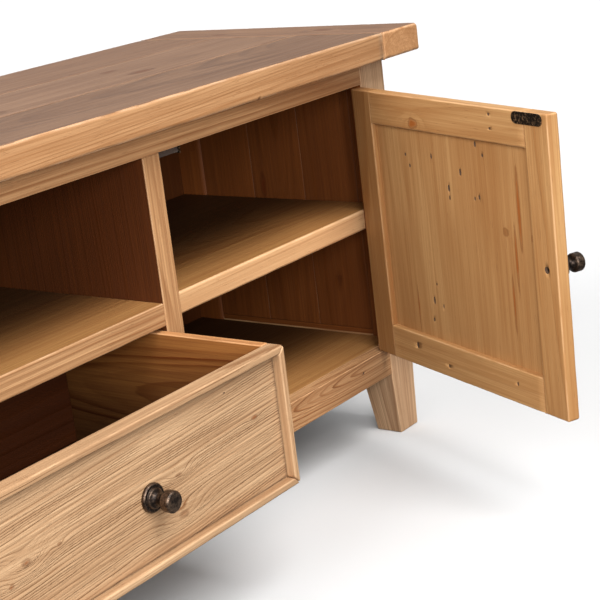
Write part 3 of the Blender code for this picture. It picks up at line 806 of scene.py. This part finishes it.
low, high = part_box("front_low_rail")
nail_x, nail_z = placed([(0.95, 0.6)], low, high, 0, 2)[0]
LOW_RAIL_NAIL = Vector((nail_x, low.y, nail_z))
low_rail = plank(low, high, "x", "low rail", 0.0012, "-x +x", RAIL_STEP,
                 (0.004, 0.045, 0.010, -0.085), 0.0034, brushed=0.0005, figure=1.7, tone=1.15,
                 warm=0.1)
make_piece("front_low_rail_wood", [low_rail], "pine_frame", "carcass", ["front_low_rail"],
           cutters=[hole_tool([(LOW_RAIL_NAIL, 0.0022, 1.0, 0.004)], (0, -1, 0))])

for side in ("left", "right"):
    for height in ("top", "low"):
        node = f"side_{height}_rail_{side}"
        sawn = plank(*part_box(node), "y", node, tight="-y +y +z")
        make_piece(f"{node}_wood", [sawn], "pine_frame", "carcass", [node],
                   inside="pine_wall")

# %% [markdown]
# ## Walls of narrow boards
#
# The ends and the back are not one sheet.  They are narrow boards set edge to edge, and
# their eased edges leave a fine V between each two.  The outer faces are waxed like the
# frame, and the inner faces keep a much darker finish, which is painted shade.

# %% Walls
KNOTTY_SHARE = 0.3


def board_wall(node, split_axis, count, tone, outward, outer_finish, known=()):
    """Splits a panel of the working model into upright boards."""
    low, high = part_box(node)
    axis = "xyz".index(split_axis)
    cuts = np.linspace(low[axis], high[axis], count + 1)
    known = placed(known, low, high, 2, axis)
    dice = random.Random(node)
    planks = []
    for index in range(count):
        a, b = low.copy(), high.copy()
        a[axis], b[axis] = cuts[index], cuts[index + 1]
        knots = [knot for knot in known if a[axis] < knot[1] < b[axis]]
        if dice.random() < KNOTTY_SHARE:
            knots.append((dice.uniform(a.z + 0.05, b.z - 0.05),
                          dice.uniform(a[axis] + 0.02, b[axis] - 0.02),
                          dice.uniform(0.005, 0.010)))
        planks.append(plank(a, b, "z", f"{node} {index}", 0.0009, step=(0.016, 0.005),
                            knots=knots, tone=tone * dice.uniform(0.86, 1.10),
                            figure=dice.uniform(0.6, 1.1)))
    made = make_piece(f"{node}_wood", planks, "pine_wall", "carcass", [node])
    # The inner faces keep the dark wall finish, painted shade, and the others get the outer
    # finish.
    made.data.materials.append(FINISHES[outer_finish])
    for face in made.data.polygons:
        if face.normal.dot(Vector(outward)) > -0.3:
            face.material_index = 1


for side in ("left", "right"):
    board_wall(f"side_panel_{side}", "y", 3, 1.0, (-1 if side == "left" else 1, 0, 0),
               "pine_frame", [(0.6, 0.6, 0.0055, 1.0, 3.2)])
board_wall("back_panel", "x", 15, 0.8, (0, 1, 0), "pine_door")

# %% [markdown]
# ## Dividers, floor and shelves
#
# The dividers stand behind the top rail, so each loses a corner there, which a Boolean
# cutter takes out.  The shelves and the floor are plain boards between the walls.  Each
# board darkens and warms with its depth: painted shade that deepens further into the
# cabinet.

# %% Inside boards
rail_low, rail_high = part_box("front_top_rail")
for side in ("left", "right"):
    node = f"divider_{side}"
    low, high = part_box(node)
    behind_rail = box_tool((low.x - REACH, low.y - REACH, rail_low.z - FIT),
                           (high.x + REACH, rail_high.y + FIT, high.z + REACH), "pine_frame")
    sawn = plank(low, high, "z", node, 0.0018, "+z -z", (0.012, 0.004),
                 (0.10, -0.05, 0.02, 0.02), 0.0042)
    make_piece(f"{node}_wood", [sawn], "pine_frame", "carcass", [node], cutters=[behind_rail],
               inside="pine_inside")


SHADE_REACH = 0.100            # how far in from the front the painted shade takes to deepen
SHADED_TONE, SHADED_WARMTH = 0.15, 0.8  # tone, and warmth added, where the painted shade is full
INSIDE_BOARDS = [("floor_board", "pine_shelf", (-0.02, -0.09, 0.02, 0.04), 0.0018),
                 ("cupboard_shelf_left", "pine_shelf", (0.03, -0.12, 0.02, 0.05), 0.0032),
                 ("cupboard_shelf_right", "pine_shelf", (-0.05, -0.14, 0.04, 0.06), 0.0032),
                 ("bay_shelf", "pine_shelf", (0.12, -0.20, 0.03, 0.05), 0.0020),
                 ("drawer_runner_left", "pine_inside", None, 0.0010),
                 ("drawer_runner_right", "pine_inside", None, 0.0010)]
for node, finish, heart, ease in INSIDE_BOARDS:
    low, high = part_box(node)
    runner = "runner" in node
    sawn = plank(low, high, "y" if runner else "x", node, ease, step=(0.014, 0.005),
                 heart=heart)
    # Away from the runners, painted shade: each board's tone falls and its warmth rises with
    # depth into the cabinet.
    if not runner:
        depth = (sawn["points"][:, 1] - low.y) / SHADE_REACH
        shade = np.exp(-depth ** 2)
        sawn["board"][:, 0] *= SHADED_TONE + (1 - SHADED_TONE) * shade
        sawn["board"][:, 2] += SHADED_WARMTH * (1 - shade)
    made = make_piece(f"{node}_wood", [sawn], finish, "carcass", [node])
    if not runner:
        edge_finish = "pine_shelf_edge" if "cupboard" in node else "pine_frame"
        refinish_front(made.data, edge_finish, low.y + ease)

# %% [markdown]
# ## The doors
#
# Each door is a frame of two upright stiles and two rails around a thin panel.  Both
# doors are made shut, in the place of the left one, because its boxes are square to the
# room.  The right door is its mirror image, turned open about its hinge line, with the
# line and the angle taken from the working model's joint.
#
# The panel shows resin pits and old worm holes.  They are cut into it, and a dark lining
# shows in each.

# %% Door woodwork
def shut_box(part, side):
    """Corners of a door part with the door shut: the right door mirrors the left one."""
    low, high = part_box(f"left_{part}")
    if side == "right":
        low, high = Vector((-high.x, low.y, low.z)), Vector((-low.x, high.y, high.z))
    return low, high


joints = {joint["name"]: joint for joint in frame["joints"]}
right_hinge = joints["right_door_hinge"]
HINGE_LINE = Vector(right_hinge["pos_m"])
OPEN_ANGLE = -radians(right_hinge["range_deg"][0])
DOOR_PLACES = {
    "left": Matrix.Identity(4),
    "right": (Matrix.Translation(HINGE_LINE) @ Matrix.Rotation(OPEN_ANGLE, 4, "Z")
              @ Matrix.Translation(-HINGE_LINE)),
}

# Every place on a door is a share of the part's width from its hinge side, and a share of
# its height.  Worm holes come in groups, so each group is a patch with a count of holes.
WORM_RADIUS, WORM_STRETCH = (0.0010, 0.0021), (1.2, 2.6)


def worm_holes(seed, count, across, up):
    """A group of holes: (share across, share up, radius, length for its width)."""
    luck = random.Random(seed)
    return [(luck.uniform(*across), luck.uniform(*up), luck.uniform(*WORM_RADIUS),
             luck.uniform(*WORM_STRETCH)) for _ in range(count)]


PANEL_MARKS = (worm_holes("upper patch", 10, (0.2, 0.7), (0.65, 0.95))
               + worm_holes("lower patch", 4, (0.1, 0.4), (0.1, 0.3)))
LOW_RAIL_MARKS = worm_holes("low rail", 3, (0.1, 0.9), (0.3, 0.8))
TOP_RAIL_NAILS = [(0.8, 0.4, 0.0015, 1.0), (0.8, 0.8, 0.0015, 1.2)]
TOP_RAIL_KNOT = (0.3, 0.2, 0.007)


def resin_streak(top, bottom, count, size, length):
    """A streak of long, thin spots between two (share across, share up), paler below."""
    spots = []
    for index in range(count):
        part = (index + 0.5) / count
        spots.append((top[0] + part * (bottom[0] - top[0]), top[1] + part * (bottom[1] - top[1]),
                      size * (1 - 0.3 * part), 0.9 - 0.2 * part, length))
    return spots


# The streak near the free side has a blurred, feathered patch on each side of it.
PANEL_STREAKS = (resin_streak((0.9, 0.8), (0.8, 0.2), 3, 0.0034, 17.0)
                 + [(0.8, 0.6, 0.0090, 0.45, 0.8), (0.95, 0.6, 0.0050, 0.5, 1.2)]
                 + resin_streak((0.2, 0.3), (0.2, 0.0), 1, 0.0023, 18.0))
MARK_DEPTH, MARK_SIZE = 0.0022, 1.45


def from_hinge(share, low, high, side):
    """The x of a share of a shut door part's width, counted from its hinge side."""
    return high.x - share * (high.x - low.x) if side == "right" else (
        low.x + share * (high.x - low.x))


def inner_holes(marks, side, low, high):
    """A cutter for marks on the inner face of a door part."""
    holes = [(Vector((from_hinge(across, low, high, side), high.y,
                      low.z + up * (high.z - low.z))), MARK_SIZE * radius, stretch, MARK_DEPTH)
             for across, up, radius, stretch in marks]
    return hole_tool(holes, (0, 1, 0))


def knob_bore(side):
    """The sunk hole on the inner face, behind the knob's screw."""
    low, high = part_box("left_door_knob")
    across = (low.x + high.x) / 2
    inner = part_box("left_door_free_stile")[1].y
    place = Vector((-across if side == "right" else across, inner, (low.z + high.z) / 2))
    return hole_tool([(place, 0.0060, 1.0, 0.0062)], (0, 1, 0))


def make_door_wood(side):
    body, place = f"{side}_door", DOOR_PLACES[side]
    hinge_low, hinge_high = shut_box("door_hinge_stile", side)
    free_low, free_high = shut_box("door_free_stile", side)
    inside = sorted((hinge_low.x, hinge_high.x, free_low.x, free_high.x))[1:3]

    def build(part, sawn, cutters=()):
        name = f"{side}_door_{part}"
        make_piece(f"{name}_wood", sawn, "pine_door", body, [name], cutters=cutters,
                   place=place)

    stile = {"ease": 0.0022, "step": (0.012, 0.004)}
    # The hinge stile's lower tone and warmer colour are painted shade.
    build("hinge_stile", [plank(hinge_low, hinge_high, "z", f"{side} hinge stile", tone=0.80,
                                heart=(0.02, -0.11, 0.01, 0.02), warm=0.9, **stile)])
    build("free_stile", [plank(free_low, free_high, "z", f"{side} free stile",
                               heart=(-0.03, -0.13, 0.02, 0.01), tone=1.04, **stile)],
          [knob_bore(side)])
    for part, marks, known in (("top_rail", TOP_RAIL_NAILS, [TOP_RAIL_KNOT]),
                               ("low_rail", LOW_RAIL_MARKS, [])):
        low, high = shut_box(f"door_{part}", side)
        low.x, high.x = inside
        knots = [(from_hinge(across, low, high, side), low.z + up * (high.z - low.z), size)
                 for across, up, size in known]
        sawn = plank(low, high, "x", f"{side} {part}", tight="-x +x", knots=knots,
                     tone=0.95, **stile)
        build(part, [sawn], [inner_holes(marks, side, low, high)])
    low, high = shut_box("door_panel", side)
    streaks = [(low.z + up * (high.z - low.z), from_hinge(across, low, high, side), *rest)
               for across, up, *rest in PANEL_STREAKS]
    sawn = plank(low, high, "z", f"{side} panel", 0.0008, step=(0.007, 0.0022),
                 heart=(0.02, -0.16, 0.02, 0.03), year=0.0105, tone=0.95, figure=0.4,
                 knots=streaks)
    build("panel", [sawn], [inner_holes(PANEL_MARKS, side, low, high)])


for side in ("left", "right"):
    make_door_wood(side)
print("right door stands open by", round(OPEN_ANGLE * 180 / pi), "degrees")

# %% [markdown]
# ## The drawer
#
# The drawer's face is one board, sunk inside a mitred bead.  It has been wire brushed
# until the grain stands in ridges, so this board gets the finest grid of all, and the
# ridges are cut into the mesh.  A displacement texture would do the same, but it would
# lose its link with the dark lines, which follow the same ring count.

# %% Drawer front
low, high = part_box("drawer_front")
FRONT_KNOTS = [(0.9, 0.6, 0.0022, 1.0, 2.6), (0.2, 0.5, 0.0026, 0.7, 1.4),
               (0.6, 0.5, 0.0060, 0.0, 1.8), (0.6, 0.2, 0.0090, 0.0, 1.8),
               (0.1, 0.5, 0.0100, 0.0, 1.2), (0.05, 0.4, 0.0024, 0.9, 1.6),
               (0.1, 0.5, 0.0020, 0.8, 1.3)]
BEAD_SHADE_REACH = 0.0028     # how far the painted shade of the bead reaches onto the face
BEAD_SHADE_SHARE = 0.6         # of the tone that this painted shade takes away
face = plank(low, high, "x", "drawer face", TIGHT, step=(0.0040, 0.0009),
             heart=(-0.13, -0.05, 0.05, 0.02), year=0.0034,
             knots=placed(FRONT_KNOTS, low, high, 0, 2),
             brushed=0.0009, figure=1.3, warm=0.15)
# Painted shade along the bead: the face darkens within a few millimetres of it on all four sides.
gaps = [face["points"][:, 0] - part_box("drawer_bead_left")[1].x,
        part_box("drawer_bead_right")[0].x - face["points"][:, 0],
        face["points"][:, 2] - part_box("drawer_bead_low")[1].z,
        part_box("drawer_bead_top")[0].z - face["points"][:, 2]]
to_bead = np.maximum(0.0, np.min(gaps, axis=0))
face["board"][:, 0] *= 1 - BEAD_SHADE_SHARE * np.exp(-(to_bead / BEAD_SHADE_REACH) ** 2)
fleck_x, fleck_z = placed([(0.8, 0.9)], low, high, 0, 2)[0]
fleck = hole_tool([(Vector((fleck_x, low.y, fleck_z)), 0.0011, 1.0, 0.002)], (0, -1, 0))
make_piece("drawer_front_wood", [face], "pine_drawer", "drawer", ["drawer_front"],
           cutters=[fleck])
print("drawer face has", len(face["points"]), "points")


# %% Drawer bead
def mitre(low, high, along, outer_high):
    """Shortens a strip's inner edge by its own width at each end."""
    cross = 2 if along == 0 else 0
    middle, half = (low[along] + high[along]) / 2, (high[along] - low[along]) / 2

    def shape(points):
        moved = points.copy()
        inward = (high[cross] - points[:, cross]) if outer_high else (points[:, cross]
                                                                      - low[cross])
        moved[:, along] = middle + (points[:, along] - middle) * (1 - inward / half)
        return moved
    return shape


for word, along, outer_high in (("top", 0, True), ("low", 0, False), ("left", 2, False),
                                ("right", 2, True)):
    node = f"drawer_bead_{word}"
    low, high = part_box(node)
    strip = plank(low, high, "xyz"[along], node, 0.0022, step=(0.008, 0.0016),
                  heart=(0.0, -0.14, 0.0, 0.01), year=0.0032, tone=0.98,
                  shape=mitre(low, high, along, outer_high))
    make_piece(f"{node}_wood", [strip], "pine_drawer", "drawer", [node])

# %% Drawer box
# Painted shade inside the drawer: the sides darken and warm towards its floor, and the back and
# the floor take the dark inside finish.  The top edges get the frame's finish.
SIDE_SHADED_FOOT_TONE, SIDE_SHADE_TONE_RISE = 0.24, 0.90     # a side darkens towards the drawer's floor
for node, grain_axis, ease, finish, tone in (
        ("drawer_side_left", "y", 0.0016, "pine_drawer_box", 1.1),
        ("drawer_side_right", "y", 0.0016, "pine_drawer_box", 1.1),
        ("drawer_back", "x", 0.0016, "pine_inside", 0.75),
        ("drawer_floor", "x", TIGHT, "pine_inside", 0.5)):
    low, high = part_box(node)
    sawn = plank(low, high, grain_axis, node, ease, year=0.0085, figure=1.5, warm=0.6,
                 tone=tone)
    if "side" in node:
        height = (sawn["points"][:, 2] - low.z) / (high.z - low.z)
        sawn["board"][:, 0] *= SIDE_SHADED_FOOT_TONE + SIDE_SHADE_TONE_RISE * np.clip(height, 0, 1) ** 2
        sawn["board"][:, 2] += 1 - height
    made = make_piece(f"{node}_wood", [sawn], finish, "drawer", [node])
    made.data.materials.append(FINISHES["pine_frame"])
    for face in made.data.polygons:
        if "floor" not in node and face.center.z > high.z - ease:
            face.material_index = 1

# %% [markdown]
# ## Knobs
#
# A knob is turned: a rose with a raised rim, a waisted stem and a drum with a flat face.
# Its outline is a short list of corners, and each corner is rounded by an arc before the
# outline is swept round.  The rims are marked in `edge`, where the iron is rubbed.

# %% Turning
def rounded(corners, segments=4):
    """Replaces each (radius, height, rounding) corner by an arc."""
    outline = []
    for index, (radius, height, ease) in enumerate(corners):
        here = Vector((radius, height))
        if not ease:
            outline.append((here, 0.0))
            continue
        before = (Vector(corners[index - 1][:2]) - here).normalized() * ease
        after = (Vector(corners[index + 1][:2]) - here).normalized() * ease
        for part in range(segments + 1):
            t = part / segments
            spot = here + before * (1 - t) ** 2 + after * t ** 2
            outline.append((spot, 1.0 if before.x * after.y > after.x * before.y else 0.15))
    return outline


def turn_piece(name, corners, finish, steps=48):
    """Sweeps an outline round its own Z axis; the outline starts and ends on the axis."""
    outline = rounded(corners)
    points, edge, faces = [], [], []
    for spot, rub in outline:
        for step in range(steps):
            angle = 2 * pi * step / steps
            points.append((spot.x * cos(angle), spot.x * sin(angle), spot.y))
            edge.append(rub)
    for ring in range(len(outline) - 1):
        for step in range(steps):
            a, b = ring * steps + step, ring * steps + (step + 1) % steps
            faces.append((a, a + steps, b + steps, b))
    mesh = bpy.data.meshes.new(name)
    mesh.from_pydata(points, [], faces)
    mesh.attributes.new("edge", "FLOAT", "POINT").data.foreach_set("value", edge)
    shape = bmesh.new()
    shape.from_mesh(mesh)
    bmesh.ops.remove_doubles(shape, verts=shape.verts, dist=1e-6)
    bmesh.ops.recalc_face_normals(shape, faces=shape.faces)
    shape.to_mesh(mesh)
    shape.free()
    mesh.shade_smooth()
    mesh.materials.append(FINISHES[finish])
    made = bpy.data.objects.new(name, mesh)
    scene.collection.objects.link(made)
    return made


# %% Knobs
KNOB_LENGTH = 0.0340
HEAD_R, ROSE_R, STEM_R, SCREW_R, SCREW_HEAD_R = 0.0122, 0.0165, 0.0058, 0.0021, 0.0043


def knob_corners(grip):
    """The outline from the middle of the face to the screw's head."""
    return [(0.0, 0.0336, 0), (0.0086, 0.0338, 0.0016), (0.0106, 0.0332, 0.0008),
            (HEAD_R, 0.0314, 0.0009), (HEAD_R, 0.0216, 0.0014), (0.0086, 0.0192, 0.0014),
            (STEM_R, 0.0158, 0.0016), (STEM_R, 0.0104, 0.0018), (0.0088, 0.0078, 0.0010),
            (0.0112, 0.0066, 0.0007), (0.0122, 0.0042, 0.0008), (0.0140, 0.0040, 0.0005),
            (0.0150, 0.0046, 0.0006), (ROSE_R, 0.0030, 0.0008), (ROSE_R, FIT, 0.0),
            (SCREW_R, FIT, 0.0), (SCREW_R, -grip - FIT, 0.0),
            (SCREW_HEAD_R, -grip - FIT, 0.0), (SCREW_HEAD_R, -grip - 0.0026, 0.0008),
            (0.0, -grip - 0.0030, 0)]


def make_knob(node, box, grip, body, place=None):
    low, high = box
    knob = turn_piece(f"{node}_turned", knob_corners(grip), "iron_dark")
    base = Vector(((low.x + high.x) / 2, low.y + KNOB_LENGTH, (low.z + high.z) / 2))
    knob.data.transform(Matrix.Translation(base) @ Matrix.Rotation(pi / 2, 4, "X"))
    settle(knob, body, [node], place)


DOOR_GRIP = 0.012       # wood between a door knob's rose and its screw's head
for side in ("left", "right"):
    make_knob(f"{side}_door_knob", shut_box("door_knob", side), DOOR_GRIP, f"{side}_door",
              DOOR_PLACES[side])
low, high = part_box("drawer_front")
make_knob("drawer_knob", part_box("drawer_knob"), high.y - low.y, "drawer")

# %% [markdown]
# ## Hinges, strikes and catches
#
# The hinges and strike plates of the working model already have their real shape, so
# they stay and only get their finish.  A catch is a small plastic housing between two
# steel strips, screwed under the top rail.  Its parts are bevelled boxes in one mesh.

# %% Hardware
for name, node in frame["nodes"].items():
    if "leaf" in name or "strike" in name:
        node.data.materials.clear()
        kind = "iron_plate" if "strike" in name else "brass_aged"
        node.data.materials.append(FINISHES[kind])


# %% Catches
STRIP = 0.0016
CATCH_EASE = 0.0005


def eased_box(shape, low, high, finish_number):
    """Adds a box with bevelled edges to a mesh in the making."""
    size, middle = high - low, (low + high) / 2
    fresh = bmesh.ops.create_cube(shape, size=1.0, matrix=Matrix.Translation(middle)
                                  @ Matrix.Diagonal((*size, 1.0)))["verts"]
    edges = {edge for vert in fresh for edge in vert.link_edges}
    bevelled = bmesh.ops.bevel(shape, geom=list(edges), offset=CATCH_EASE, segments=2,
                               affect="EDGES")["verts"]
    for face in {face for vert in bevelled for face in vert.link_faces}:
        face.material_index = finish_number


for name in [node for node in frame["nodes"] if "catch" in node]:
    low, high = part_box(name)
    shape = bmesh.new()
    inner_low = Vector((low.x + STRIP, low.y + 2 * STRIP, low.z + STRIP))
    inner_high = Vector((high.x - STRIP, high.y, high.z))
    eased_box(shape, inner_low, inner_high, 0)
    for start in (low.x, high.x - STRIP):
        eased_box(shape, Vector((start, low.y, low.z)),
                  Vector((start + STRIP, high.y, high.z)), 1)
    made = tool_object(shape, FINISHES["catch_plastic"])
    made.name = made.data.name = f"{name}_made"
    made.data.materials.append(FINISHES["iron_plate"])
    settle(made, "carcass", [name])
    print(name, "measures", [round(1000 * side) for side in high - low], "mm")

# %% [markdown]
# ## Studio
#
# The floor is one large pale sheet that runs out of sight.  The room gives even white
# light.  Three suns as wide as big diffusers shine from above the front, from the left
# and, weakest, from the back right.  A disk lamp at the front left lights the near end.
#
# White paper would throw so much light into the cupboards that they lost their depth.  A
# Light Path node makes the sheet and the room white where they are seen, and dimmer where
# they only light the cabinet, as if black cloth hid them from it.

# %% Floor and light
FLOOR_SIZE = 60.0
PAPER, PAPER_BOUNCE = 0.70, 0.14
ROOM_SEEN, ROOM_LIGHT = 1.0, 0.25
scene.view_settings.view_transform = "Standard"
floor_mesh = bpy.data.meshes.new("studio_floor")
half = FLOOR_SIZE / 2
floor_mesh.from_pydata([(-half, -half, 0), (half, -half, 0), (half, half, 0),
                        (-half, half, 0)], [], [(0, 1, 2, 3)])
floor = bpy.data.objects.new("studio_floor", floor_mesh)
scene.collection.objects.link(floor)


def seen_or_not(tree, seen, unseen):
    """One value where the camera looks straight at a thing, another where light bounces."""
    direct = add(tree, "LightPath").outputs["Is Camera Ray"]
    return calc(tree, "MULTIPLY_ADD", direct, seen - unseen, unseen)


paper, tree, shader = new_material("studio_paper")
tree.links.new(seen_or_not(tree, PAPER, PAPER_BOUNCE), shader.inputs["Base Color"])
shader.inputs["Roughness"].default_value = 0.9
shader.inputs["Specular IOR Level"].default_value = 0.0
floor_mesh.materials.append(paper)

room = bpy.data.worlds.new("studio_room")
room.use_nodes = True
background = room.node_tree.nodes["Background"]
background.inputs["Color"].default_value = (1.0, 1.0, 1.0, 1.0)
room.node_tree.links.new(seen_or_not(room.node_tree, ROOM_SEEN, ROOM_LIGHT),
                         background.inputs["Strength"])
scene.world = room


def soft_sun(name, towards, width, strength):
    """A sun that shines the given way, as wide as a big diffuser, in degrees."""
    sun = bpy.data.lights.new(name, "SUN")
    sun.angle = radians(width)
    sun.energy = strength
    made = bpy.data.objects.new(name, sun)
    scene.collection.objects.link(made)
    made.rotation_euler = Vector(towards).to_track_quat("-Z", "Y").to_euler()


def disk_lamp(name, place, towards, across, watts):
    """A round lamp at a place, for what stands near it."""
    disk = bpy.data.lights.new(name, "AREA")
    disk.shape = "DISK"
    disk.size = across
    disk.energy = watts
    made = bpy.data.objects.new(name, disk)
    scene.collection.objects.link(made)
    made.location = place
    made.rotation_euler = Vector(towards).to_track_quat("-Z", "Y").to_euler()


soft_sun("front", (0.30, 1.0, -1.45), 36.0, 3.1)
soft_sun("left", (1.0, -0.12, -0.55), 40.0, 1.8)
soft_sun("back_right", (-0.5, -0.9, -1.6), 70.0, 0.7)
disk_lamp("near_left", (-0.9, -1.4, 0.95), (0.8, 1.4, -0.5), 0.8, 24.0)
print("floor and lamps are set")
